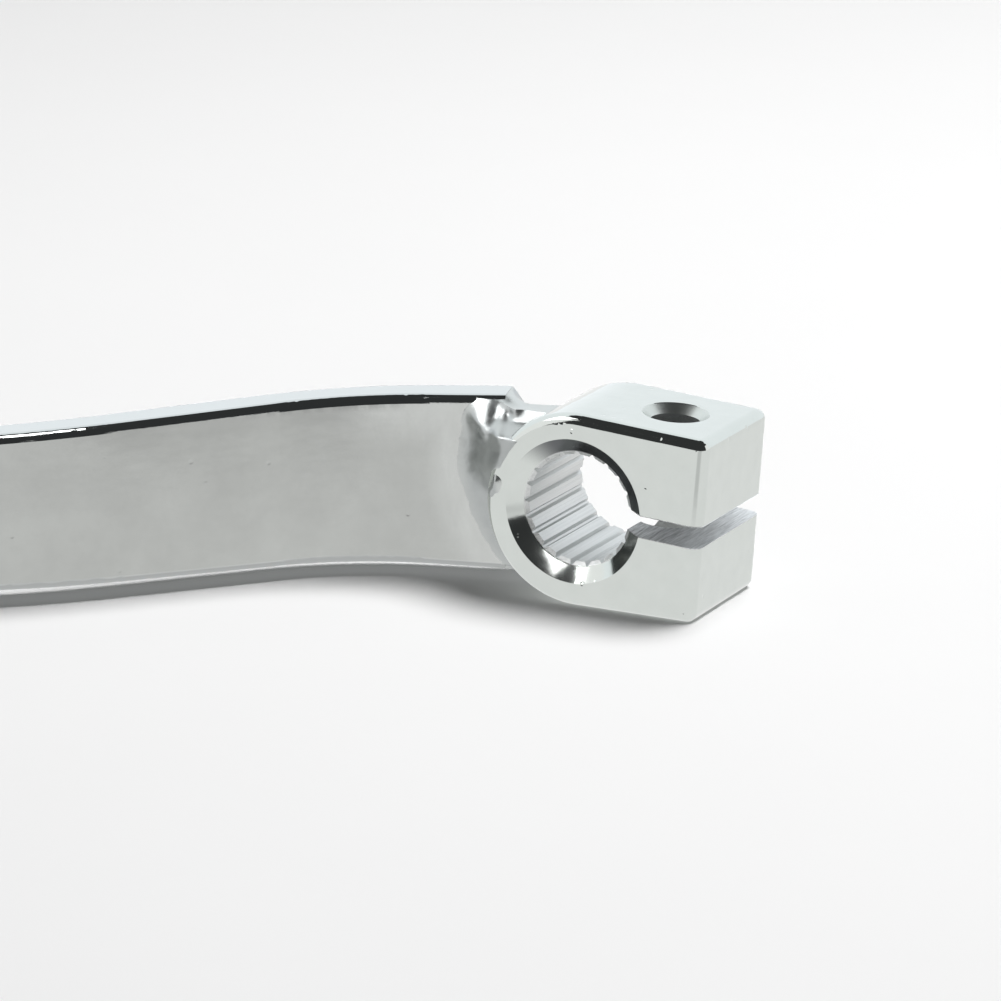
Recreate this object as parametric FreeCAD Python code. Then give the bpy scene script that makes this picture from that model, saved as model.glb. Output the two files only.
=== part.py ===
"""Motorcycle gear shift lever: a splined pinch clamp welded to a cranked flat arm with a toe peg.

Frame, in millimetres: the origin is on the spline axis, halfway along the bore. +Y runs along that axis
towards the engine, -Y towards the rider's foot, -X from the shaft to the toe peg, and +Z up. The lever lies
as it does on a table: on the flat under its clamp and on its toe rubber.
"""
import FreeCAD, Part
import math
import os

V = FreeCAD.Vector

# Splined pinch clamp; its clocking is the turn about the spline axis at which it is welded to the arm
clamp_radius = 10.0
clamp_width = 15.0
clamp_end_reach = 14.0
clamp_edge_round = 1.1
clamp_clocking = 4.2
slot_gap = 2.2

# Spline in the bore: wide lands, with narrow grooves for the teeth of the shaft
spline_grooves = 21
spline_groove_radius = 6.0
spline_land_radius = 5.6
spline_groove_mouth = 0.68
spline_groove_floor = 0.24
spline_phase = 182.0
lead_in_radius = 7.5
lead_in_depth = 1.5

# Pinch bolt holes: tapped in the upper ear, plain in the lower ear
bolt_reach = 7.1
bolt_tap_radius = 2.55
bolt_clearance_radius = 3.3
bolt_countersink_radius = 3.45
bolt_countersink_depth = 0.9

# Flat arm, cranked outwards in plan and tapered in height towards the toe
arm_thickness = 5.0
arm_edge_round = 0.9
arm_root_gap = 0.6
arm_root_offset = -0.66
arm_root_angle = 16.5
arm_root_run = 7.7
arm_crank_radius = 31.2
arm_crank_angle = 47.5
arm_crank_run = 16.7
arm_return_radius = 70.0
arm_root_top = 9.9
arm_root_bottom = -8.85
toe_reach = 140.0
toe_radius = 5.8

# Toe peg, riveted into the arm
peg_radius = 4.5
peg_length = 33.0
peg_bead_radius = 5.6
peg_bead_width = 3.0
peg_shoulder_radius = 5.4
peg_shoulder_thickness = 1.5
rivet_radius = 3.4
rivet_head_radius = 4.8
rivet_head_height = 1.8
rivet_clearance = 0.05

# Toe rubber, pulled over the peg
rubber_radius = 8.4
rubber_end_wall = 3.0
rubber_end_round = 1.5
rubber_rings = 9
rubber_ring_groove = 0.8
rubber_clearance = 0.05

# Weld bead: a filled notch between arm and clamp, and an off-centre fillet on each face of the arm
weld_centre_x = 1.4
weld_centre_z = 3.0
weld_front_leg = 6.6
weld_front_setback = 1.3
weld_rear_leg = 5.0
weld_rear_setback = 3.0
weld_rim_spread = 0.6
weld_hollow = 0.7
weld_notch_drop = 1.1
weld_foot_rise = 0.2
weld_overlap = 1.5

# Lumps on the upper front of the bead: angle about the bore, distance outside the clamp, setback and radius
weld_lumps = [(144.0, 3.0, 5.2, 2.8), (144.0, 0.8, 3.7, 2.4), (152.5, 1.6, 4.6, 2.6)]

# Allowance by which a cutting shape runs past the faces that it cuts
past = 1.0

front_y = -clamp_width / 2
peg_height = rubber_radius - clamp_radius
arm_root = V(-clamp_radius - arm_root_gap, arm_root_offset, 0)


def line(a, b):
    return Part.LineSegment(a, b).toShape()


def arc(a, middle, b):
    return Part.Arc(a, middle, b).toShape()


def face(edges):
    return Part.Face(Part.Wire(edges))


def polar(radius, degrees, y=0.0):
    """Point at an angle from +X towards +Z, about the spline axis."""
    angle = math.radians(degrees)
    return V(radius * math.cos(angle), y, radius * math.sin(angle))


def along(degrees):
    """Direction in plan from the clamp to the toe, at an angle from -X towards the rider's foot."""
    angle = math.radians(degrees)
    return V(-math.cos(angle), -math.sin(angle), 0)


def outward(degrees):
    """Direction in plan square to along, on the side of the rider's foot."""
    angle = math.radians(degrees)
    return V(math.sin(angle), -math.cos(angle), 0)


def clock(shape):
    """Turn a shape of the clamp from its own square position to the place where it is welded."""
    shape.rotate(V(0, 0, 0), V(0, 1, 0), clamp_clocking)
    return shape


def clamp_blank():
    """Outside of the clamp, square: a round boss with ears, the lower one level once clocked."""
    tilt = math.radians(clamp_clocking)
    top_start = V(0, front_y, clamp_radius)
    top_end = V(clamp_end_reach, front_y, clamp_radius)
    low_start = polar(clamp_radius, clamp_clocking - 90.0, front_y)
    low_rise = (clamp_end_reach - low_start.x) * math.tan(tilt)
    low_end = V(clamp_end_reach, front_y, low_start.z + low_rise)
    block = face([
        line(top_start, top_end),
        line(top_end, low_end),
        line(low_end, low_start),
        arc(low_start, V(-clamp_radius, front_y, 0), top_start),
    ]).extrude(V(0, clamp_width, 0))
    return block.makeFillet(clamp_edge_round, [edge for edge in block.Edges if not is_smooth_seam(edge)])


def is_smooth_seam(edge):
    """True for the two edges along Y where the round boss runs into an ear without a corner."""
    start = edge.Vertexes[0].Point
    end = edge.Vertexes[-1].Point
    return abs(end.y - start.y) > clamp_width / 2 and start.x < clamp_end_reach / 2


def spline_bore():
    """Cutter for the splined bore."""
    pitch = 360.0 / spline_grooves
    mouth = math.degrees(spline_groove_mouth / 2 / spline_land_radius)
    floor = math.degrees(spline_groove_floor / 2 / spline_groove_radius)
    edges = []
    for index in range(spline_grooves):
        middle = spline_phase + index * pitch
        mouth_start = polar(spline_land_radius, middle - mouth)
        floor_start = polar(spline_groove_radius, middle - floor)
        floor_end = polar(spline_groove_radius, middle + floor)
        mouth_end = polar(spline_land_radius, middle + mouth)
        next_mouth = polar(spline_land_radius, middle + pitch - mouth)
        edges.append(line(mouth_start, floor_start))
        edges.append(arc(floor_start, polar(spline_groove_radius, middle), floor_end))
        edges.append(line(floor_end, mouth_end))
        edges.append(arc(mouth_end, polar(spline_land_radius, middle + pitch / 2), next_mouth))
    cutter = face(edges).extrude(V(0, clamp_width + 2 * past, 0))
    cutter.translate(V(0, front_y - past, 0))
    return cutter


def lead_in(side):
    """Cutter for the cone at one mouth of the bore; side is -1 at the front and +1 at the back."""
    slope = (lead_in_radius - spline_land_radius) / lead_in_depth
    wide = lead_in_radius + past * slope
    start = V(0, side * (clamp_width / 2 + past), 0)
    return Part.makeCone(wide, spline_land_radius, lead_in_depth + past, start, V(0, -side, 0))


def bolt_hole():
    """Cutter for the pinch bolt, down through both ears, with a countersink at the top."""
    tall = clamp_radius + past
    tapped = Part.makeCylinder(bolt_tap_radius, tall, V(bolt_reach, 0, 0))
    plain = Part.makeCylinder(bolt_clearance_radius, tall, V(bolt_reach, 0, -tall))
    slope = (bolt_countersink_radius - bolt_tap_radius) / bolt_countersink_depth
    wide = bolt_countersink_radius + past * slope
    start = V(bolt_reach, 0, clamp_radius - bolt_countersink_depth)
    countersink = Part.makeCone(bolt_tap_radius, wide, bolt_countersink_depth + past, start)
    return tapped.fuse([plain, countersink])


def spline_clamp():
    """The clamp with its bore, sawn slot and bolt holes."""
    slot_corner = V(0, front_y - past, -slot_gap / 2)
    slot = Part.makeBox(clamp_end_reach + past, clamp_width + 2 * past, slot_gap, slot_corner)
    return clock(clamp_blank().cut([spline_bore(), lead_in(-1), lead_in(1), slot, bolt_hole()]))


def arm_side(offset):
    """Points of one face of the arm in plan, from root to toe, at a distance outwards of its middle."""
    crank_start = arm_root + along(arm_root_angle) * arm_root_run
    crank_centre = crank_start + outward(arm_root_angle) * arm_crank_radius
    crank_end = crank_centre - outward(arm_crank_angle) * arm_crank_radius
    return_start = crank_end + along(arm_crank_angle) * arm_crank_run
    return_centre = return_start - outward(arm_crank_angle) * arm_return_radius
    return_end = return_centre + outward(0) * arm_return_radius
    crank = arm_crank_radius - offset
    sweep = arm_return_radius + offset
    return [
        arm_root + outward(arm_root_angle) * offset,
        crank_centre - outward(arm_root_angle) * crank,
        crank_centre - outward((arm_root_angle + arm_crank_angle) / 2) * crank,
        crank_centre - outward(arm_crank_angle) * crank,
        return_centre + outward(arm_crank_angle) * sweep,
        return_centre + outward(arm_crank_angle / 2) * sweep,
        return_centre + outward(0) * sweep,
        V(-toe_reach - 2 * toe_radius, return_end.y - offset, 0),
    ]


def arm_strip():
    """The bent strip seen from above, taller than the arm, for the side outline to trim."""
    sides = [arm_side(arm_thickness / 2), arm_side(-arm_thickness / 2)]
    edges = [line(sides[0][0], sides[1][0]), line(sides[0][-1], sides[1][-1])]
    for points in sides:
        edges.append(line(points[0], points[1]))
        edges.append(arc(points[1], points[2], points[3]))
        edges.append(line(points[3], points[4]))
        edges.append(arc(points[4], points[5], points[6]))
        edges.append(line(points[6], points[7]))
    strip = face(Part.__sortEdges__(edges))
    reach = arm_root_top - arm_root_bottom
    strip.translate(V(0, 0, -reach))
    return strip.extrude(V(0, 0, 2 * reach))


def toe_tangent(start, side):
    """Point where the edge from start runs into the round of the toe; side is +1 above, -1 below."""
    dx = start.x + toe_reach
    dz = start.z - peg_height
    angle = math.atan2(dz, dx) + side * math.acos(toe_radius / math.hypot(dx, dz))
    return V(-toe_reach + toe_radius * math.cos(angle), 0, peg_height + toe_radius * math.sin(angle))


def arm_outline():
    """Side outline of the arm, straight above and below and round at the toe."""
    top_start = V(arm_root.x + arm_thickness, 0, arm_root_top)
    low_start = V(arm_root.x + arm_thickness, 0, arm_root_bottom)
    top_end = toe_tangent(top_start, 1)
    low_end = toe_tangent(low_start, -1)
    outline = face([
        line(low_start, top_start),
        line(top_start, top_end),
        arc(top_end, V(-toe_reach - toe_radius, 0, peg_height), low_end),
        line(low_end, low_start),
    ])
    outline.translate(V(0, -toe_reach, 0))
    return outline.extrude(V(0, 2 * toe_reach, 0))


def is_arm_edge(edge):
    """True for the edges that run along the arm and round its toe, not for those upright or across it."""
    if not isinstance(edge.Curve, Part.Line):
        return True
    upright = abs(edge.Curve.Direction.z) > 0.99
    across = abs(edge.Length - arm_thickness) < 0.01
    return not upright and not across


def peg_root():
    """Point where the peg's axis meets the outward face of the arm."""
    return V(-toe_reach, arm_side(arm_thickness / 2)[-1].y, peg_height)


def shift_arm(clamp_outside):
    """The arm, its edges rounded, with the rivet hole at the toe and its root hollowed to the clamp."""
    bar = arm_strip().common(arm_outline())
    bar = bar.makeFillet(arm_edge_round, [edge for edge in bar.Edges if is_arm_edge(edge)])
    start = peg_root() - V(0, past, 0)
    hole = Part.makeCylinder(rivet_radius + rivet_clearance, arm_thickness + 2 * past, start, V(0, 1, 0))
    return bar.cut([hole, clamp_outside])


def peg_shank(clearance):
    """Edges of the peg's side outside the arm, from its tip to its shoulder, grown by a clearance."""
    tip = -peg_length - clearance
    bead_end = -peg_length + peg_bead_width + clearance
    shank = peg_radius + clearance
    bead_top = V(peg_bead_radius + clearance, (tip + bead_end) / 2, 0)
    return [
        line(V(0, tip, 0), V(shank, tip, 0)),
        arc(V(shank, tip, 0), bead_top, V(shank, bead_end, 0)),
        line(V(shank, bead_end, 0), V(shank, -peg_shoulder_thickness, 0)),
    ]


def turned(edges):
    """Solid of revolution about the peg's axis, set on the arm."""
    solid = face(edges).revolve(V(0, 0, 0), V(0, 1, 0), 360)
    solid.translate(peg_root())
    return solid


def toe_peg():
    """Turned peg: a domed rivet head, a shoulder on the arm, and a shank with a bead for the rubber."""
    dome = (rivet_head_radius ** 2 + rivet_head_height ** 2) / (2 * rivet_head_height)
    half_turn = math.atan(rivet_head_height / rivet_head_radius)
    head_top = V(0, arm_thickness + rivet_head_height, 0)
    head_middle = head_top + V(dome * math.sin(half_turn), -dome * (1 - math.cos(half_turn)), 0)
    head_rim = V(rivet_head_radius, arm_thickness, 0)
    shoulder = V(peg_shoulder_radius, -peg_shoulder_thickness, 0)
    return turned([
        line(head_top, V(0, -peg_length, 0)),
        *peg_shank(0.0),
        line(V(peg_radius, shoulder.y, 0), shoulder),
        line(shoulder, V(peg_shoulder_radius, 0, 0)),
        line(V(peg_shoulder_radius, 0, 0), V(rivet_radius, 0, 0)),
        line(V(rivet_radius, 0, 0), V(rivet_radius, arm_thickness, 0)),
        line(V(rivet_radius, arm_thickness, 0), head_rim),
        arc(head_rim, head_middle, head_top),
    ])


def toe_rubber():
    """Ringed rubber boot, closed at its outer end, with a cavity that follows the peg."""
    start = -peg_shoulder_thickness
    end = -peg_length - rubber_end_wall
    ring = (start - end) / rubber_rings
    valley = rubber_radius - rubber_ring_groove
    cavity = peg_shank(rubber_clearance)
    mouth = V(peg_radius + rubber_clearance, start, 0)
    floor = V(0, -peg_length - rubber_clearance, 0)
    edges = [*cavity, line(mouth, V(valley, start, 0))]
    for index in range(rubber_rings):
        near = start - index * ring
        far = near - ring
        edges.append(arc(V(valley, near, 0), V(rubber_radius, (near + far) / 2, 0), V(valley, far, 0)))
    edges.append(line(V(valley, end, 0), V(0, end, 0)))
    edges.append(line(V(0, end, 0), floor))
    boot = turned(edges)
    rim = [edge for edge in boot.Edges if abs(edge.BoundBox.Center.y - peg_root().y - end) < 0.01]
    return boot.makeFillet(rubber_end_round, rim)


def arm_face_point(side, x):
    """Point at x on a face of the arm's straight root; side is -1 outwards and +1 inwards."""
    on_face = arm_root - outward(arm_root_angle) * (side * arm_thickness / 2)
    return on_face + along(arm_root_angle) * ((on_face.x - x) / math.cos(math.radians(arm_root_angle)))


def weld_fillet(side, leg, setback):
    """Hollow fillet turned about a line square to the arm, from its toe on the arm to the clamp's rim."""
    toe = clamp_radius + leg
    rim = clamp_radius + weld_rim_spread
    rim_y = side * (clamp_width / 2 - setback)
    height = abs(rim_y - arm_face_point(side, -clamp_radius).y)
    rise = height * math.cos(math.radians(arm_root_angle))
    chord = V(rise, side * (toe - rim), 0)
    hollow = V((toe + rim) / 2, side * rise / 2, 0) - chord * (weld_hollow / chord.Length)
    foot = -side * weld_overlap
    fillet = face([
        line(V(0, foot, 0), V(toe, foot, 0)),
        line(V(toe, foot, 0), V(toe, 0, 0)),
        arc(V(toe, 0, 0), hollow, V(rim, side * rise, 0)),
        line(V(rim, side * rise, 0), V(0, side * rise, 0)),
        line(V(0, side * rise, 0), V(0, foot, 0)),
    ]).revolve(V(0, 0, 0), V(0, 1, 0), 360)
    fillet.rotate(V(0, 0, 0), V(0, 0, 1), arm_root_angle)
    fillet.translate(arm_face_point(side, weld_centre_x) + V(0, 0, weld_centre_z))
    return fillet


def weld_window():
    """Side view of the whole bead: within the arm's height, and left of the bore."""
    left = -2 * clamp_radius - weld_front_leg
    right = -clamp_radius / 3
    notch_top = arm_root_top - weld_notch_drop
    foot = arm_root_bottom + weld_foot_rise
    window = face([
        line(V(left, 0, foot), V(left, 0, arm_root_top)),
        line(V(left, 0, arm_root_top), V(-clamp_radius, 0, notch_top)),
        line(V(-clamp_radius, 0, notch_top), V(right, 0, notch_top)),
        line(V(right, 0, notch_top), V(right, 0, foot)),
        line(V(right, 0, foot), V(left, 0, foot)),
    ])
    window.translate(V(0, front_y, 0))
    return window.extrude(V(0, clamp_width, 0))


def clamp_weld(clamp_outside, arm):
    """Weld bead between clamp and arm, cut back to the faces of both, without the cut's loose slivers."""
    front = weld_fillet(-1, weld_front_leg, weld_front_setback)
    rear = weld_fillet(1, weld_rear_leg, weld_rear_setback)
    corner = V(arm_root.x - arm_root_gap, arm_root.y - arm_thickness / 2, arm_root_bottom)
    notch = Part.makeBox(clamp_radius, arm_thickness, arm_root_top - arm_root_bottom, corner)
    lumps = [
        Part.makeSphere(radius, polar(clamp_radius + reach, angle, front_y + setback))
        for angle, reach, setback, radius in weld_lumps
    ]
    bead = front.fuse([rear, notch, *lumps]).common(weld_window()).cut([clamp_outside, arm])
    return max(bead.Solids, key=lambda solid: solid.Volume)


def main():
    clamp_outside = clock(clamp_blank())
    arm = shift_arm(clamp_outside)
    parts = {
        "spline_clamp": spline_clamp(),
        "shift_arm": arm,
        "clamp_weld": clamp_weld(clamp_outside, arm),
        "toe_peg": toe_peg(),
        "toe_rubber": toe_rubber(),
    }
    os.makedirs("parts", exist_ok=True)
    for name, shape in parts.items():
        shape.exportStep(f"parts/{name}.step")
        print(name, "valid", shape.isValid(), "solids", len(shape.Solids), "mm3", round(shape.Volume, 1))


main()
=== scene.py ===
import math

import bpy
from mathutils import Matrix, Vector, noise


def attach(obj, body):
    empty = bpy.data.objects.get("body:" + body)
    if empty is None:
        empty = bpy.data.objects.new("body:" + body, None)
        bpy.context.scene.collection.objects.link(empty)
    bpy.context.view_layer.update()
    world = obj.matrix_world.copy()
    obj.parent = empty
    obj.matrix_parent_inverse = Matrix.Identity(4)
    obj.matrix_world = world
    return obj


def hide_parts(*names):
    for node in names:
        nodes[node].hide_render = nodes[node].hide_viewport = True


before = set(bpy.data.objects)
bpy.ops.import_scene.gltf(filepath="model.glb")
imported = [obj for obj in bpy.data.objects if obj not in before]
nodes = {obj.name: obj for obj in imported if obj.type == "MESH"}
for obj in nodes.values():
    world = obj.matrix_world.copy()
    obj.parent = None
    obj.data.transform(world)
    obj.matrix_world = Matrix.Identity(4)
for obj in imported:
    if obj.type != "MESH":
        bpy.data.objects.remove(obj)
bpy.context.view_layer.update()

MM = 0.001
METRE = 1000.0

# Sizes of the lever that the looks follow, in millimetres
CLOCKING = math.radians(4.2)
CLAMP_HALF_WIDTH = 7.5
LEAD_IN_DEPTH = 1.5
SPLINE_RADIUS = 6.0
SLOT_HALF_GAP = 1.1
BOLT_REACH = 7.1
TAP_RADIUS = 2.55
COUNTERSINK_FLOOR = 9.1
RIM_RADIUS = 10.0
RIM_ROUND = 1.1
FLOOR_HEIGHT = -10.0

# Arm's front face near the clamp: the way along it, the way out of it, and the weld's axis on it
ARM_TURN = math.radians(16.5)
ALONG = Vector((math.cos(ARM_TURN), math.sin(ARM_TURN), 0))
OUT = Vector((math.sin(ARM_TURN), -math.cos(ARM_TURN), 0))
WELD_AXIS = Vector((1.4, 0.287, 3.0))


# Shader maths

class Value:
    """A shader socket that Python's operators work on: each expression adds its Math nodes."""

    def __init__(self, shader, socket):
        self.shader = shader
        self.socket = socket

    def math(self, operation, *others):
        return self.shader.add("Math", {"operation": operation}, self, *others).out()

    def __add__(self, other):
        return self.math("ADD", other)

    __radd__ = __add__

    def __sub__(self, other):
        return self.math("SUBTRACT", other)

    def __rsub__(self, other):
        return self.shader.add("Math", {"operation": "SUBTRACT"}, other, self).out()

    def __mul__(self, other):
        return self.math("MULTIPLY", other)

    __rmul__ = __mul__

    def __truediv__(self, other):
        return self.math("DIVIDE", other)

    def __rtruediv__(self, other):
        return self.shader.add("Math", {"operation": "DIVIDE"}, other, self).out()

    def __pow__(self, other):
        return self.math("POWER", other)

    def __abs__(self):
        return self.math("ABSOLUTE")

    def sine(self):
        return self.math("SINE")

    def root(self):
        return self.math("SQRT")

    def either(self, *masks):
        """1 where this mask or one of the others is 1."""
        value = self
        for mask in masks:
            value = value.math("MAXIMUM", mask)
        return value

    def below(self, limit, soft):
        """1 under the limit, 0 above it, with a soft step between them."""
        return self.step(limit + soft, limit - soft)

    def above(self, limit, soft):
        """0 under the limit, 1 above it, with a soft step between them."""
        return self.step(limit - soft, limit + soft)

    def step(self, start, end):
        """0 at the start and 1 at the end, whichever of them is the lower."""
        settings = {"interpolation_type": "SMOOTHSTEP"}
        low, high = min(start, end), max(start, end)
        ends = (0.0, 1.0) if start < end else (1.0, 0.0)
        return self.shader.add("MapRange", settings, self, low, high, *ends).out()

    def spread(self, low, high):
        """The value from 0 to 1 laid out from low to high."""
        return self * (high - low) + low


class Added:
    """A node that was added to a shader, with its outputs by number or name."""

    def __init__(self, shader, node):
        self.shader = shader
        self.node = node

    def out(self, which=0):
        return Value(self.shader, self.node.outputs[which])


class Shader:
    """The node tree of one finish."""

    def __init__(self, name):
        self.material = bpy.data.materials.new(name)
        self.material.use_nodes = True
        self.tree = self.material.node_tree
        self.surface = self.tree.nodes["Principled BSDF"]
        self.place = self.add("TexCoord").out("Object")

    def add(self, kind, settings=None, *values, **named):
        """A node of that kind; its settings are set first, then its sockets in order or by name."""
        node = self.tree.nodes.new("ShaderNode" + kind)
        for key, value in (settings or {}).items():
            setattr(node, key, value)
        sockets = list(enumerate(values))
        sockets += [(key.replace("_", " "), value) for key, value in named.items()]
        for key, value in sockets:
            self.feed(node.inputs[key], value)
        return Added(self, node)

    def feed(self, socket, value):
        if isinstance(value, Value):
            self.tree.links.new(value.socket, socket)
        else:
            socket.default_value = value

    def set(self, **named):
        for key, value in named.items():
            self.feed(self.surface.inputs[key.replace("_", " ")], value)

    def axes(self):
        """The place on the object in millimetres: x, y and z."""
        parts = self.add("SeparateXYZ", None, self.place)
        return [parts.out(i) * METRE for i in range(3)]

    def facing(self):
        """How far the surface faces up: 1 on a level top, 0 on an upright side, -1 underneath."""
        return self.add("SeparateXYZ", None, self.add("NewGeometry").out("Normal")).out("Z")

    def weld_reach(self):
        """Distance from the weld's axis in the plane of the arm's front face, in millimetres."""
        x, y, z = self.axes()
        along = (x - WELD_AXIS.x) * ALONG.x + (y - WELD_AXIS.y) * ALONG.y
        return (along * along + (z - WELD_AXIS.z) ** 2.0).root()

    def stretched(self, x, y, z):
        """The place in millimetres, times a factor along each axis, for a streaked pattern."""
        settings = {"operation": "MULTIPLY"}
        factors = (x * METRE, y * METRE, z * METRE)
        return self.add("VectorMath", settings, self.place, factors).out()

    def noise(self, place, scale, detail=2.0, roughness=0.5):
        sockets = {"Scale": scale, "Detail": detail, "Roughness": roughness}
        return self.add("TexNoise", None, place, **sockets).out()

    def cells(self, place, scale):
        return self.add("TexVoronoi", None, place, Scale=scale).out("Distance")

    def colour(self, factor, first, second):
        """The first colour where the factor is 0, the second where it is 1."""
        node = self.add("Mix", {"data_type": "RGBA"}).node
        self.feed(node.inputs["Factor"], factor)
        sockets = [socket for socket in node.inputs if socket.type == "RGBA"]
        for socket, value in zip(sockets, (first, second)):
            self.feed(socket, value if isinstance(value, Value) else (*value, 1.0))
        return Value(self, [socket for socket in node.outputs if socket.type == "RGBA"][0])

    def bumps(self, *layers):
        """Bumps laid over each other: a pattern, and how far its 1 stands proud in millimetres."""
        normal = None
        for height, proud in layers:
            added = self.add("Bump", None, Strength=1.0, Distance=proud * MM, Height=height)
            if normal is not None:
                self.feed(added.node.inputs["Normal"], normal)
            normal = added.out()
        return normal


# Finishes, with the places where they begin and end in millimetres

# Clamp: how far a finish reaches past its cut face and how softly it ends there; the bore's mouth;
# the slot's root and the run where its saw marks turn from a painted shade near the root to paler
# far from it; the bolt's holes;
# the cone that leads into the bore, and the way that its side faces where shade is painted dark on
# it
MASK_PAST = 0.06
MASK_SOFT = 0.03
BORE_MOUTH = 1.2
SLOT_ROOT = 4.9
SLOT_SHADE_END = 11.0
HOLE_RADIUS = 3.4
SINK_RADIUS = 4.4
SINK_FLOOR = 9.0
SINK_TOP = 9.95
CONE_RADIUS = 7.6
CONE_ROOT = 5.95
CONE_EDGE = 0.02
PAINTED_SHADE_X = 0.45
PAINTED_SHADE_Z = 0.9

# Arm: the highlight painted on its face near the clamp, and the dark reflection painted along its
# upper edge
PAINTED_HIGHLIGHT_START = -25.0
PAINTED_HIGHLIGHT_LEVEL = 5.5
DARK_REFLECTION_START = -33.0
DARK_REFLECTION_END = -20.0
DARK_REFLECTION_LEVEL = 8.0

# Weld, by the distance from its axis: the heated plate and the fine rings on the arm, the weld's
# own toe, and the splash, painted with a highlight, with the level under which it lies; and how
# close the rings are
HEATED_REACH = 19.0
RINGS_REACH = 18.3
TOE_REACH = 16.2
SPLASH_REACH = 11.9
SPLASH_LEVEL = 3.4
RING_RATE = 8.0
RING_WANDER = 6.0


def heat_rings(reach, uneven):
    """Fine rings round the weld's axis that wander with an uneven pattern."""
    return (reach * RING_RATE + uneven * RING_WANDER).sine()


def clamp_chrome():
    """Bright plate on the outside, bare drawn grooves in the bore and saw marks in the slot."""
    s = Shader("clamp_chrome")
    x, y, z = s.axes()
    own_x = x * math.cos(CLOCKING) - z * math.sin(CLOCKING)
    own_z = x * math.sin(CLOCKING) + z * math.cos(CLOCKING)
    radius = (x * x + z * z).root()
    bore = radius.below(SPLINE_RADIUS + MASK_PAST, MASK_SOFT)
    bore = bore * abs(y).below(CLAMP_HALF_WIDTH - BORE_MOUTH, soft=0.1)
    slot = abs(own_z).below(SLOT_HALF_GAP + MASK_PAST, MASK_SOFT) * own_x.above(SLOT_ROOT, soft=0.2)
    bolt = ((own_x - BOLT_REACH) ** 2.0 + y * y).root()
    hole = bolt.below(HOLE_RADIUS, MASK_SOFT) * abs(own_z).below(COUNTERSINK_FLOOR, soft=0.1)
    sink = bolt.below(SINK_RADIUS, soft=0.1) * own_z.above(SINK_FLOOR, soft=0.05)
    sink = sink * own_z.below(SINK_TOP, MASK_SOFT)
    machined = bore.either(slot, hole)
    cone = radius.below(CONE_RADIUS, soft=0.05) * radius.above(CONE_ROOT, MASK_SOFT)
    cone = cone * abs(y).above(CLAMP_HALF_WIDTH - LEAD_IN_DEPTH, soft=0.05)
    cone = cone * abs(y).below(CLAMP_HALF_WIDTH - CONE_EDGE, soft=CONE_EDGE)
    # Painted shade: the upper side of the lead-in cone is coloured dark
    painted_shade = cone * ((z * PAINTED_SHADE_Z + x * PAINTED_SHADE_X) / radius).above(0.45, soft=0.3)

    even = s.stretched(1, 1, 1)
    waves = s.noise(even, scale=0.16)
    ripples = s.noise(even, scale=0.6)
    cloud = s.noise(even, scale=0.5, detail=3.0)
    drawn = s.noise(s.stretched(5.0, 0.06, 5.0), scale=1.0, detail=4.0, roughness=0.65)
    sawn = s.noise(s.stretched(5.5, 0.3, 1.0), scale=1.0, detail=4.0, roughness=0.7)
    pits = s.cells(even, scale=0.42).below(0.09, soft=0.04)

    polished = s.colour(cloud, (0.6, 0.63, 0.605), (0.66, 0.69, 0.665))
    polished = s.colour(painted_shade, polished, (0.12, 0.125, 0.13))
    bare = s.colour(drawn, (0.5, 0.51, 0.505), (0.84, 0.855, 0.85))
    cuts = sawn.step(0.3, 0.7)
    # Saw marks in the slot with a painted shade: darker near the slot's root than towards its mouth
    near = s.colour(cuts, (0.11, 0.114, 0.117), (0.62, 0.63, 0.635))
    far = s.colour(cuts, (0.55, 0.565, 0.57), (0.96, 0.98, 0.99))
    saw_marks_and_painted_shade = s.colour(own_x.above(SLOT_SHADE_END, soft=3.0), near, far)
    base = s.colour(bore.either(hole), polished, bare)
    base = s.colour(slot, base, saw_marks_and_painted_shade)
    shiny = cloud.spread(0.035, 0.075) + cone * 0.06 + sink * 0.3
    dull = drawn.spread(0.3, 0.5)
    s.set(Base_Color=base, Metallic=1.0, Roughness=shiny + machined * (dull - shiny))
    s.set(Normal=s.bumps(
        (waves, 0.05),
        (ripples * (1.0 - machined), 0.01),
        (pits * (1.0 - machined), -0.03),
        (drawn * bore, 0.05),
        (sawn * slot, 0.09),
    ))
    return s.material


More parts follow.
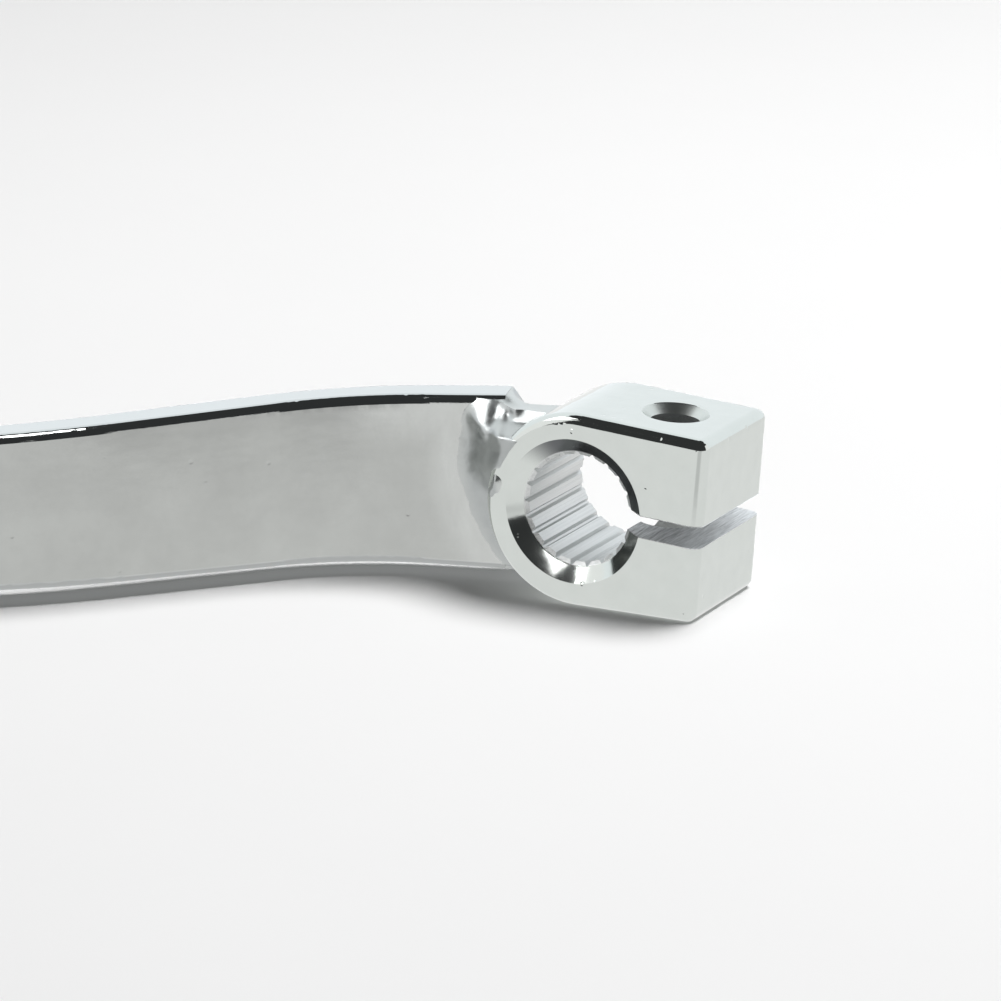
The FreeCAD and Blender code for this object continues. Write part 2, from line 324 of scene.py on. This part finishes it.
def arm_chrome():
    """Plate over a rolled bar: slightly satin on the wide faces, bright on the edges; shade is
    painted on the edges underneath, and a highlight and a dark reflection on the face.
    """
    s = Shader("arm_chrome")
    x, _, z = s.axes()
    facing = s.facing()
    edge = abs(facing).step(0.05, 0.3)
    rounded = abs(facing).step(0.0, 0.12) * abs(facing).below(0.9, soft=0.06)
    painted_underside_shade = facing.below(-0.15, soft=0.15)

    even = s.stretched(1, 1, 1)
    mottle = s.noise(even, scale=0.14, detail=4.0, roughness=0.6)
    grain = s.noise(even, scale=5.0)
    waves = s.noise(s.stretched(0.4, 0.4, 1), scale=0.35)
    ripples = s.noise(s.stretched(0.5, 0.5, 1), scale=0.7, detail=3.0)
    streaks = s.noise(s.stretched(0.9, 0.9, 0.25), scale=1.0, detail=3.0)
    pits = s.cells(even, scale=0.3).below(0.06, soft=0.03)
    reach = s.weld_reach()
    heated = reach.below(HEATED_REACH, soft=1.6)
    rings = heat_rings(reach, mottle) * reach.below(RINGS_REACH, soft=0.9)
    # Painted highlight: the upper face near the clamp is coloured paler
    painted_highlight = x.above(PAINTED_HIGHLIGHT_START, soft=4.0) * z.above(PAINTED_HIGHLIGHT_LEVEL, soft=2.5)
    # Painted dark reflection: dark streaks on the face just under its upper edge
    painted_dark_reflection = x.above(DARK_REFLECTION_START, soft=3.0) * x.below(DARK_REFLECTION_END, soft=3.0)
    painted_dark_reflection = painted_dark_reflection * z.above(DARK_REFLECTION_LEVEL, soft=0.7) * streaks.above(0.5, soft=0.12)

    face = s.colour(mottle, (0.42, 0.43, 0.415), (0.57, 0.585, 0.565))
    face = s.colour(heated.either(painted_highlight) * streaks.spread(0.3, 1.0), face, (0.63, 0.645, 0.63))
    face = s.colour(painted_dark_reflection * 0.6, face, (0.2, 0.205, 0.2))
    # Edges in the bright edge colour, with a painted shade colouring them darker underneath
    bright = s.colour(painted_underside_shade, (0.59, 0.615, 0.61), (0.4, 0.415, 0.41))
    satin = grain.spread(0.15, 0.24) + mottle * 0.06
    s.set(Base_Color=s.colour(edge, face, bright), Metallic=1.0)
    s.set(Roughness=satin + edge * (0.05 - satin))
    s.set(Normal=s.bumps(
        (waves, 0.05),
        (ripples * rounded, 0.045),
        (rings * (1.0 - edge), 0.004),
        (grain * (1.0 - edge), 0.004),
        (pits, -0.02),
    ))
    return s.material


def weld_chrome():
    """Plate over the weld, finely uneven, as light as the arm at its toe, with highlights painted
    as light on its top and splash.
    """
    s = Shader("weld_chrome")
    reach = s.weld_reach()
    even = s.stretched(1, 1, 1)
    lumps = s.noise(even, scale=0.8, detail=3.0)
    fine = s.noise(even, scale=3.0)
    toe = reach.above(TOE_REACH, soft=1.4)
    # Painted highlights: the weld's upward faces and its splash are coloured as light as the toe
    top = s.facing().above(0.8, soft=0.1)
    splash = reach.below(SPLASH_REACH, soft=0.3) * s.axes()[2].below(SPLASH_LEVEL, soft=0.4)
    run = s.colour(lumps, (0.38, 0.4, 0.4), (0.5, 0.52, 0.515))
    s.set(Base_Color=s.colour(toe.either(top, splash), run, (0.58, 0.6, 0.585)), Metallic=1.0)
    s.set(Roughness=lumps.spread(0.24, 0.38))
    s.set(Normal=s.bumps((fine, 0.008), (heat_rings(reach, lumps) * toe, 0.004)))
    return s.material


def cut_steel():
    """Tapped steel: thinly plated, dull between the ridges."""
    s = Shader("cut_steel")
    streak = s.noise(s.stretched(1, 1, 6), scale=1.0, detail=3.0)
    s.set(Base_Color=s.colour(streak, (0.3, 0.31, 0.31), (0.55, 0.56, 0.56)), Metallic=1.0)
    s.set(Roughness=streak.spread(0.2, 0.35), Normal=s.bumps((streak, 0.02)))
    return s.material


def peg_chrome():
    """Plate over turned steel, with faint rings from the lathe."""
    s = Shader("peg_chrome")
    cloud = s.noise(s.stretched(1, 1, 1), scale=0.4, detail=3.0)
    rings = s.noise(s.stretched(0.05, 9.0, 0.05), scale=1.0)
    s.set(Base_Color=s.colour(cloud, (0.46, 0.465, 0.47), (0.54, 0.545, 0.55)), Metallic=1.0)
    s.set(Roughness=rings.spread(0.05, 0.16), Normal=s.bumps((rings, 0.006)))
    return s.material


def toe_rubber():
    """Moulded black rubber, matt, with a dusty bloom."""
    s = Shader("toe_rubber")
    even = s.stretched(1, 1, 1)
    bloom = s.noise(even, scale=0.25, detail=5.0, roughness=0.6)
    grain = s.noise(even, scale=6.0, detail=3.0)
    s.set(Base_Color=s.colour(bloom, (0.012, 0.012, 0.013), (0.035, 0.035, 0.037)))
    s.set(Roughness=grain.spread(0.5, 0.7) + bloom * 0.12, Normal=s.bumps((grain, 0.03)))
    s.set(Specular_IOR_Level=0.4)
    return s.material


def wear(piece, material):
    """Put a finish on a piece in place of any it has."""
    piece.data.materials.clear()
    piece.data.materials.append(material)


wear(nodes["spline_clamp"], clamp_chrome())
wear(nodes["shift_arm"], arm_chrome())
wear(nodes["toe_peg"], peg_chrome())
wear(nodes["toe_rubber"], toe_rubber())


# Pieces made here: the run metal of the weld and the thread in the upper ear. A place on the weld
# has a run u along the arm's front face, a level z and a height out of that face, in millimetres

# Front of the weld: a hollow as an arc over the distance from the weld's axis, a toe that dips into
# the arm, a crown, and waves with height and rate
HOLLOW_REACH = 17.5
HOLLOW_LIFT = 8.31
HOLLOW_RADIUS = 8.37
HOLLOW_ROOT = 9.4
TOE_FALL = 0.6
WELD_CROWN = 3.1
CROWN_SOFT = 0.6
WELD_WAVES = [(0.03, 0.9), (0.012, 2.3)]

# Ends of the weld's skin: left, foot, the right end that is buried in the clamp's rim, and back,
# with how far the foot and the back are tucked in; its grid, and the share that lies on the front
WELD_LEFT = -18.2
WELD_FOOT = -8.6
FOOT_TUCK = 1.2
FOOT_SHARE = 0.02
WELD_BURIED = 9.2
BURIED_TOP = 9.0
BURIED_LEAST = 2.6
BURIED_PAST = 0.57
WELD_BACK = -4.4
BACK_TUCK = 1.2
BACK_SHARE = 0.93
WELD_COLUMNS = 120
WELD_ROWS = 200
WELD_FRONT_SHARE = 0.78

# Top of the weld: its front edge and the saddle behind it, as a level and how far that rises or
# falls over a run; how far behind the edge saddle and waves are in full; and the fall of its rear
RIDGE_LEVEL = 9.3
RIDGE_FALL = 0.45
RIDGE_FALL_RUN = (-13.0, -10.5)
SADDLE_LEVEL = 8.9
SADDLE_RISE = 0.75
SADDLE_RISE_RUN = (-13.2, -12.0)
SADDLE_FALL = 1.0
SADDLE_FALL_RUN = (-12.0, -9.3)
SADDLE_DEPTH = 2.0
TOP_WAVE = 0.05
TOP_WAVE_RATE = 0.8
TOP_WAVE_DEPTH = 0.5
REAR_FALL = 1.3
REAR_FALL_DEPTH = (1.0, 4.4)
REAR_FALL_RUN = (-11.9, -10.0)

# Lumps and dents of the weld as places, with radius and height: those under its top facet and those
# on it; and the facet's place, height and slopes
WELD_MARKS = [
    ((-14.0, 7.4), 1.3, 1.3), ((-12.4, 7.2), 1.3, 0.8),
    ((-11.0, 6.4), 1.4, 0.5), ((-12.3, 5.2), 1.2, 0.3),
]
FACET_MARKS = [
    ((-13.6, 6.0), 0.65, 0.55), ((-11.8, 6.6), 0.7, 0.4), ((-11.1, 8.2), 0.5, -0.3),
    ((-10.4, 8.9), 0.6, 0.3), ((-12.3, 8.7), 0.8, -0.25), ((-12.5, 7.6), 0.7, -0.2),
]
FACET_RUN = -14.45
FACET_LEVEL = 7.97
FACET_OUT = 1.0
FACET_ALONG = 0.3
FACET_FALL = 0.82
FACET_SOFT = 0.3

# Metal drawn up to the edge of the clamp's front: how far it spreads from that edge, how its end
# wanders, how far it stands proud, how steeply it ends, and the levels where it starts and stops
COVER_SPREAD = 2.6
COVER_WANDER = 0.15
COVER_WANDER_RATE = 1.1
COVER_PROUD = 0.04
COVER_SLOPE = 1.5
COVER_START = (-1.0, 3.8)
COVER_STOP = (6.4, 7.8)

# Splash on the clamp's rim: its turn about the bore in degrees, its run from the front over the
# rounded edge, how far it lies under the rim where it is thin, its waves, its drops with turn, run
# and height, and its grid
SPLASH_START = 182.0
SPLASH_TURN = 30.0
SPLASH_FRONT = -1.2
SPLASH_RUN = 3.2
SPLASH_SINK = 0.08
SPLASH_WAVE = 0.05
SPLASH_WAVE_RATE = 1.6
SPLASH_WAVE_TURN = 6.0
DROP_TURN = 3.6
DROP_RUN = 0.5
RIM_DROPS = [(171.0, -0.1, 0.3), (166.0, -0.1, 0.2), (176.0, 0.5, 0.15)]
SPLASH_COLUMNS = 90
SPLASH_ROWS = 50

# Layers of the smooth noise, one for each form that takes it
WAVE_LAYER = 0.0
SPLASH_LAYER = 2.0
TOP_LAYER = 4.0
COVER_LAYER = 7.0

# Skin of the weld and the solid bead behind it: the skin's wall, how near points are merged, the
# planes that cut the bead back under the skin, and the angle up to which the weld is shaded smooth
SKIN_WALL = 0.3
MERGE_DISTANCE = 0.002
CUT_DISTANCE = 0.001
BEAD_CUTS = [
    (WELD_AXIS - OUT * 0.3, OUT),
    (Vector((0, -2.0, 8.35)), Vector((0, 0.36, 0.93))),
]
SMOOTH_ANGLE = math.radians(35)

# Thread of the pinch bolt: its three-sided ridge stands out of the tapped hole's wall
THREAD_SIDES = 3
THREAD_PITCH = 1.0
THREAD_RIDGE = 0.34
THREAD_SINK = 0.05
THREAD_START = 1.6
THREAD_TURNS = 7
THREAD_STEPS = 40
QUARTER_TURN = math.radians(90)


def deselect():
    bpy.ops.object.select_all(action="DESELECT")


def activate(piece):
    deselect()
    piece.select_set(True)
    bpy.context.view_layer.objects.active = piece


def linked(name, data):
    """A new object in the scene that shows the data."""
    thing = bpy.data.objects.new(name, data)
    bpy.context.scene.collection.objects.link(thing)
    return thing


def apply(piece, kind, **settings):
    """Add a modifier of that kind to a piece, set it and apply it."""
    modifier = piece.modifiers.new(kind.lower(), kind)
    for key, value in settings.items():
        setattr(modifier, key, value)
    activate(piece)
    bpy.ops.object.modifier_apply(modifier=modifier.name)


def ease(start, end, value):
    """0 before the start, 1 past the end and a smooth climb between them."""
    t = min(max((value - start) / (end - start), 0.0), 1.0)
    return t * t * (3.0 - 2.0 * t)


def lower(one, other, soft):
    """The lower of two heights, with the corner between them rounded off."""
    return (one + other - math.hypot(one - other, soft)) / 2


def uneven(one, other, layer, rate):
    """Smooth noise over two lengths, from a layer of its own."""
    return noise.noise(Vector((one, other, layer)) * rate)


def on_arm(u, z, out):
    """A place on the weld, as a point of the lever."""
    place = WELD_AXIS + ALONG * u + OUT * out
    return Vector((place.x, place.y, z))


def ridge_level(u):
    """Level of the front edge of the weld's top: it falls from the arm's top to the clamp."""
    return RIDGE_LEVEL - RIDGE_FALL * ease(*RIDGE_FALL_RUN, u)


def saddle_level(u):
    """Level of the weld's top behind that edge, from inside the arm down to the clamp's round."""
    rise = SADDLE_RISE * ease(*SADDLE_RISE_RUN, u)
    return SADDLE_LEVEL + rise - SADDLE_FALL * ease(*SADDLE_FALL_RUN, u)


def marked(u, z, marks):
    """How far lumps and dents lift the weld at a place."""
    return sum(height * math.exp(-((u - mark_u) ** 2 + (z - mark_z) ** 2) / radius ** 2)
               for (mark_u, mark_z), radius, height in marks)


def rim_cover(u, z, out):
    """How far the metal drawn up to the edge of the clamp's front lifts the weld."""
    front = (CLAMP_HALF_WIDTH + WELD_AXIS.y + ALONG.y * u) / -OUT.y
    across = WELD_AXIS.x + ALONG.x * u + OUT.x * front
    wander = COVER_WANDER * uneven(u, z, COVER_LAYER, COVER_WANDER_RATE)
    gap = math.hypot(across, z) - (RIM_RADIUS - RIM_ROUND) + wander
    lift = max(front + COVER_PROUD + COVER_SLOPE * min(gap, 0.0) - out, 0.0)
    share = ease(*COVER_START, z) - ease(*COVER_STOP, z)
    return share * lift * math.exp(-(max(gap, 0.0) / COVER_SPREAD) ** 2)


def weld_height(u, z):
    """How far the weld's front stands out of the arm: a hollow with lumps, cut off on top."""
    reach = max(math.hypot(u, z - WELD_AXIS.z), HOLLOW_ROOT)
    if reach < HOLLOW_REACH:
        out = HOLLOW_LIFT - math.sqrt(HOLLOW_RADIUS ** 2 - (reach - HOLLOW_REACH) ** 2)
    else:
        out = HOLLOW_LIFT - HOLLOW_RADIUS - TOE_FALL * (reach - HOLLOW_REACH)
    out = lower(out, WELD_CROWN, CROWN_SOFT) + marked(u, z, WELD_MARKS)
    out += sum(height * uneven(u, z, WAVE_LAYER, rate) for height, rate in WELD_WAVES)
    facet = FACET_OUT + FACET_ALONG * (u - FACET_RUN) - FACET_FALL * (z - FACET_LEVEL)
    out = lower(out, facet, FACET_SOFT)
    return out + rim_cover(u, z, out) + marked(u, z, FACET_MARKS)


def weld_place(across, up):
    """A place on the weld's skin: across from arm to clamp, up from the foot and over the top."""
    rise = min(up / WELD_FRONT_SHARE, 1.0)
    back = max((up - WELD_FRONT_SHARE) / (1.0 - WELD_FRONT_SHARE), 0.0)
    level = WELD_FOOT + rise * (BURIED_TOP - WELD_FOOT)
    buried = max(WELD_BURIED ** 2 - level ** 2, BURIED_LEAST ** 2)
    right = (-math.sqrt(buried) - WELD_AXIS.x - BURIED_PAST) / ALONG.x
    u = WELD_LEFT + across * (right - WELD_LEFT)
    z = WELD_FOOT + rise * (ridge_level(u) - WELD_FOOT)
    front_edge = weld_height(u, z) - FOOT_TUCK * ease(FOOT_SHARE, 0.0, up)
    out = front_edge + back * (WELD_BACK - front_edge)
    behind_edge = front_edge - out
    wave = TOP_WAVE * uneven(u, out, TOP_LAYER, TOP_WAVE_RATE)
    rear = REAR_FALL * ease(*REAR_FALL_DEPTH, -out) * ease(*REAR_FALL_RUN, u)
    z += (saddle_level(u) - z) * ease(0.0, SADDLE_DEPTH, behind_edge)
    z += wave * ease(0.0, TOP_WAVE_DEPTH, behind_edge)
    z -= rear + BACK_TUCK * ease(BACK_SHARE, 1.0, back)
    return on_arm(u, z, out)


def splash_place(across, up):
    """A place on the splash: across round the clamp's rim, up from its front over the edge."""
    turn = SPLASH_START - SPLASH_TURN * across
    run = SPLASH_FRONT + SPLASH_RUN * up
    thick = -SPLASH_SINK
    for drop_turn, drop_run, height in RIM_DROPS:
        off_turn = (turn - drop_turn) / DROP_TURN
        off_run = (run - drop_run) / DROP_RUN
        thick += height * math.exp(-off_turn ** 2 - off_run ** 2)
    thick += SPLASH_WAVE * uneven(turn / SPLASH_WAVE_TURN, run, SPLASH_LAYER, SPLASH_WAVE_RATE)
    bend = min(max(run / RIM_ROUND, 0.0), math.pi / 2)
    side = max(run - RIM_ROUND * math.pi / 2, 0.0)
    radius = RIM_RADIUS - RIM_ROUND + min(run, 0.0) + (RIM_ROUND + thick) * math.sin(bend)
    y = side + RIM_ROUND - CLAMP_HALF_WIDTH - (RIM_ROUND + thick) * math.cos(bend)
    angle = math.radians(turn)
    return Vector((radius * math.cos(angle), y, radius * math.sin(angle)))


def skin(name, columns, rows, place):
    """A thin closed piece whose outside follows a function of the way across and the way up."""
    deselect()
    bpy.ops.mesh.primitive_grid_add(x_subdivisions=columns, y_subdivisions=rows, size=1.0)
    piece = bpy.context.object
    piece.name = name
    for vertex in piece.data.vertices:
        vertex.co = place(vertex.co.x + 0.5, vertex.co.y + 0.5) * MM
    apply(piece, "SOLIDIFY", thickness=SKIN_WALL * MM, offset=-1.0)
    return piece


def weld_bead():
    """The weld: a run skin on its front and top, the solid bead behind it and the splash."""
    bead = skin("weld_bead", WELD_COLUMNS, WELD_ROWS, weld_place)
    splash = skin("splash", SPLASH_COLUMNS, SPLASH_ROWS, splash_place)

    rest = linked("rest", nodes["clamp_weld"].data.copy())
    activate(rest)
    bpy.ops.mesh.customdata_custom_splitnormals_clear()
    bpy.ops.object.mode_set(mode="EDIT")
    bpy.ops.mesh.select_all(action="SELECT")
    bpy.ops.mesh.remove_doubles(threshold=MERGE_DISTANCE * MM)
    for place, outwards in BEAD_CUTS:
        bpy.ops.mesh.select_all(action="SELECT")
        bpy.ops.mesh.bisect(plane_co=place * MM, plane_no=outwards, use_fill=True,
                            clear_outer=True, threshold=CUT_DISTANCE * MM)
    bpy.ops.object.mode_set(mode="OBJECT")

    activate(bead)
    rest.select_set(True)
    splash.select_set(True)
    bpy.ops.object.join()
    bpy.ops.object.shade_smooth_by_angle(angle=SMOOTH_ANGLE)
    wear(bead, weld_chrome())
    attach(bead, "root")
    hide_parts("clamp_weld")


def bolt_thread():
    """The thread in the upper ear: one ridge that winds down the hole."""
    deselect()
    bpy.ops.mesh.primitive_circle_add(vertices=THREAD_SIDES, radius=THREAD_RIDGE * MM,
                                      fill_type="NOTHING")
    thread = bpy.context.object
    thread.name = "bolt_thread"
    bpy.ops.object.mode_set(mode="EDIT")
    bpy.ops.mesh.select_all(action="SELECT")
    for axis in ("Z", "X"):
        bpy.ops.transform.rotate(value=QUARTER_TURN, orient_axis=axis, center_override=(0, 0, 0))
    bpy.ops.transform.translate(value=((TAP_RADIUS + THREAD_SINK) * MM, 0, 0))
    bpy.ops.object.mode_set(mode="OBJECT")
    apply(thread, "SCREW", angle=math.tau, screw_offset=THREAD_PITCH * MM,
          iterations=THREAD_TURNS, steps=THREAD_STEPS, render_steps=THREAD_STEPS, axis="Z",
          use_smooth_shade=False)
    activate(thread)
    bpy.ops.object.mode_set(mode="EDIT")
    bpy.ops.mesh.select_all(action="SELECT")
    bpy.ops.mesh.fill_holes(sides=THREAD_SIDES)
    bpy.ops.mesh.normals_make_consistent(inside=False)
    bpy.ops.object.mode_set(mode="OBJECT")
    thread.data.transform(Matrix.Translation(Vector((BOLT_REACH, 0, THREAD_START)) * MM))
    thread.data.transform(Matrix.Rotation(CLOCKING, 4, "Y"))
    wear(thread, cut_steel())
    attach(thread, "root")


weld_bead()
bolt_thread()


# Studio: a white floor under a lamp, and what only shows as a reflection in the plate: a bright
# floor, bright walls behind and beside the lever, the dark room in front of it and two cards

# Room: the bearing of its dark side, from -Y towards +X; how far from there the walls begin, and
# their foot and tops as elevations, in degrees; and the size of floor and dome in metres
ROOM_BEARING = 27
SIDE_WALL_TURN = 60
BACK_WALL_TURN = 100
WALL_FOOT = -2
LEFT_WALL_TOP = 46
RIGHT_WALL_TOP = 40
BACK_WALL_TOP = 60
FLOOR_SIZE = 8.0
DOME_RADIUS = 2.5
DOME_SEGMENTS = 144
DOME_RINGS = 72

# Cards that light the weld's top and the lead-in cone: size, place, what they face and strength
CARDS = [
    (24.0, Vector((-40.0, -32.0, 56.0)), Vector((-11.0, -4.5, 8.0)), 5.0),
    (5.0, Vector((-1.6, -11.9, 4.0)), Vector((-3.0, -7.0, -6.1)), 2.6),
]

# Tones, and the mirrored floor: how bright it is, and where it is dim in front of the lever, as the
# cosine of the turn from the room's bearing and the distance from the bore in millimetres
WHITE = (1.0, 1.0, 1.0)
BLACK = (0.0, 0.0, 0.0, 1.0)
DIM_WHITE = (0.74, 0.74, 0.74)
MIRRORED_STRENGTH = 0.98
DIM_TURN = 0.96
DIM_REACH = 45.0

# Sky and lamp, in metres and watts
SKY_STRENGTH = 0.12
LAMP_SIZE = 0.45
LAMP_POWER = 9.2
LAMP_WAY = Vector((0.2, 0.27, 0.94))
LAMP_DISTANCE = 0.9

# Camera: its place in millimetres, bearing and elevation in degrees, and lens
CAMERA_PLACE = Vector((213.6, -437.4, 141.8))
CAMERA_BEARING = 27.28
CAMERA_ELEVATION = 16.33
CAMERA_SENSOR = 36.0
CAMERA_LENS = 179.8
CAMERA_NEAREST = 0.01


def paper():
    """White paper with a faint tooth."""
    s = Shader("paper")
    tooth = s.noise(s.stretched(1, 1, 1), scale=0.02, detail=3.0)
    s.set(Base_Color=s.colour(tooth, (0.84, 0.84, 0.84), (0.86, 0.86, 0.86)), Roughness=0.9)
    s.set(Specular_IOR_Level=0.0)
    return s.material


def glow(name, colour, strength):
    s = Shader(name)
    s.set(Base_Color=BLACK, Emission_Color=(*colour, 1.0), Emission_Strength=strength)
    return s.material


def mirrored_paper():
    """The paper as the plate mirrors it: evenly bright, and dimmer in front of the lever."""
    s = Shader("mirrored_paper")
    x, y, _ = s.axes()
    bearing = math.radians(ROOM_BEARING)
    reach = (x * x + y * y).root()
    ahead = (x * math.sin(bearing) - y * math.cos(bearing)) / reach
    dim = ahead.above(DIM_TURN, soft=0.03) * reach.above(DIM_REACH, soft=12.0)
    s.set(Base_Color=BLACK, Specular_IOR_Level=0.0, Emission_Strength=MIRRORED_STRENGTH)
    s.set(Emission_Color=s.colour(dim, WHITE, DIM_WHITE))
    return s.material


def only_mirrored(piece):
    """Leave a piece of the studio to be seen as a reflection alone."""
    for ray in ("camera", "diffuse", "shadow", "transmission", "volume_scatter"):
        setattr(piece, "visible_" + ray, False)


def ground(name, material):
    """A wide level sheet under the lever."""
    deselect()
    bpy.ops.mesh.primitive_plane_add(size=FLOOR_SIZE, location=(0, 0, FLOOR_HEIGHT * MM))
    sheet = bpy.context.object
    sheet.name = name
    sheet.data.materials.append(material)
    return sheet


def tent(name, material, keep):
    """Part of a large dome, mirrored only: the faces whose bearing and elevation keep takes."""
    deselect()
    bpy.ops.mesh.primitive_uv_sphere_add(segments=DOME_SEGMENTS, ring_count=DOME_RINGS,
                                         radius=DOME_RADIUS, location=(0, 0, 0))
    dome = bpy.context.object
    dome.name = name
    bpy.ops.object.mode_set(mode="EDIT")
    bpy.context.tool_settings.mesh_select_mode = (False, False, True)
    bpy.ops.mesh.select_all(action="DESELECT")
    bpy.ops.object.mode_set(mode="OBJECT")
    for face in dome.data.polygons:
        way = face.center.normalized()
        bearing = math.degrees(math.atan2(way.x, -way.y))
        face.select = not keep(bearing, math.degrees(math.asin(way.z)))
    bpy.ops.object.mode_set(mode="EDIT")
    bpy.ops.mesh.delete(type="FACE")
    bpy.ops.object.mode_set(mode="OBJECT")
    dome.data.materials.append(material)
    only_mirrored(dome)


def behind(bearing, up):
    return WALL_FOOT < up < BACK_WALL_TOP and abs(bearing - ROOM_BEARING) > BACK_WALL_TURN


def beside(bearing, up):
    turn = abs(bearing - ROOM_BEARING)
    top = LEFT_WALL_TOP if bearing < ROOM_BEARING else RIGHT_WALL_TOP
    return WALL_FOOT < up < top and SIDE_WALL_TURN < turn <= BACK_WALL_TURN


def elsewhere(bearing, up):
    return up > WALL_FOOT and not behind(bearing, up) and not beside(bearing, up)


floor = ground("floor", paper())
floor.visible_glossy = False
only_mirrored(ground("mirrored_floor", mirrored_paper()))

tent("back_wall", glow("back_glow", (0.96, 1.0, 1.03), strength=1.12), behind)
tent("side_wall", glow("side_glow", WHITE, strength=1.1), beside)
tent("dark_room", glow("room_glow", (0.9, 1.0, 1.05), strength=0.012), elsewhere)

for size, place, target, strength in CARDS:
    deselect()
    bpy.ops.mesh.primitive_plane_add(size=size * MM, location=place * MM,
                                     rotation=(place - target).to_track_quat("Z", "Y").to_euler())
    card = bpy.context.object
    card.name = "card"
    card.data.materials.append(glow("card_glow", WHITE, strength))
    only_mirrored(card)

world = bpy.data.worlds.new("sky")
bpy.context.scene.world = world
world.use_nodes = True
background = world.node_tree.nodes["Background"]
background.inputs["Color"].default_value = (*WHITE, 1.0)
background.inputs["Strength"].default_value = SKY_STRENGTH
world.cycles_visibility.glossy = False

lamp = linked("lamp", bpy.data.lights.new("lamp", "AREA"))
lamp.data.shape = "DISK"
lamp.data.size = LAMP_SIZE
lamp.data.energy = LAMP_POWER
lamp.location = LAMP_WAY * LAMP_DISTANCE
lamp.rotation_euler = LAMP_WAY.to_track_quat("Z", "Y").to_euler()
lamp.visible_glossy = False

bpy.context.scene.view_settings.view_transform = "Standard"

camera = linked("camera", bpy.data.cameras.new("camera"))
camera.location = CAMERA_PLACE * MM
camera.rotation_euler = (math.radians(90 - CAMERA_ELEVATION), 0, math.radians(CAMERA_BEARING))
camera.data.sensor_width = CAMERA_SENSOR
camera.data.lens = CAMERA_LENS
camera.data.clip_start = CAMERA_NEAREST
bpy.context.scene.camera = camera
